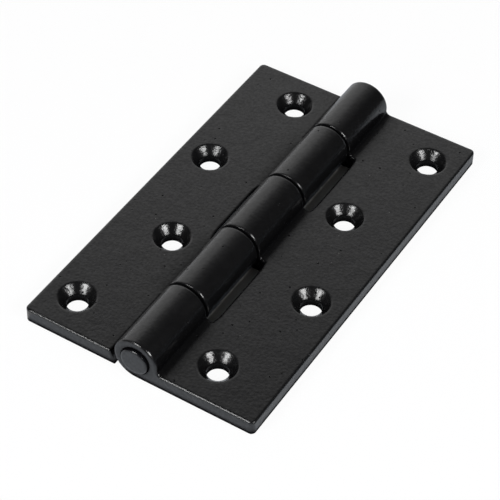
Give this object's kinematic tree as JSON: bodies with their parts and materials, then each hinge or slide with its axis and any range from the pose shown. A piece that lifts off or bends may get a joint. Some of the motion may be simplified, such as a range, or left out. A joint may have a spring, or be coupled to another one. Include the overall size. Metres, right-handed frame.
{
  "type": "butt hinge",
  "caption": "Black coated cast butt hinge laid open flat, with countersunk staggered screw holes, round knuckles and a fixed pin, for hanging a door or a gate.",
  "frame": {"origin": "on the plane of the leaves' backs, under the middle of the pin", "axes": "+Y along the pin, +X towards the edge of the three-knuckle leaf, +Z out of the countersunk faces"},
  "size_m": [0.0608, 0.1032, 0.0112],
  "materials": {
    "leaf_coat": "satin black powder coat over cast iron, faintly wavy",
    "pin_coat": "satin black powder coat over steel"
  },
  "bodies": {
    "fixed_leaf": {"three_knuckle_leaf": "leaf_coat", "hinge_pin": "pin_coat"},
    "swinging_leaf": {"two_knuckle_leaf": "leaf_coat"}
  },
  "joints": [
    {"name": "leaf_swing", "type": "hinge", "parent": "fixed_leaf", "child": "swinging_leaf", "pos_m": [0, 0, 0.0056], "axis": [0, 1, 0], "range_deg": [-90, 180]}
  ]
}
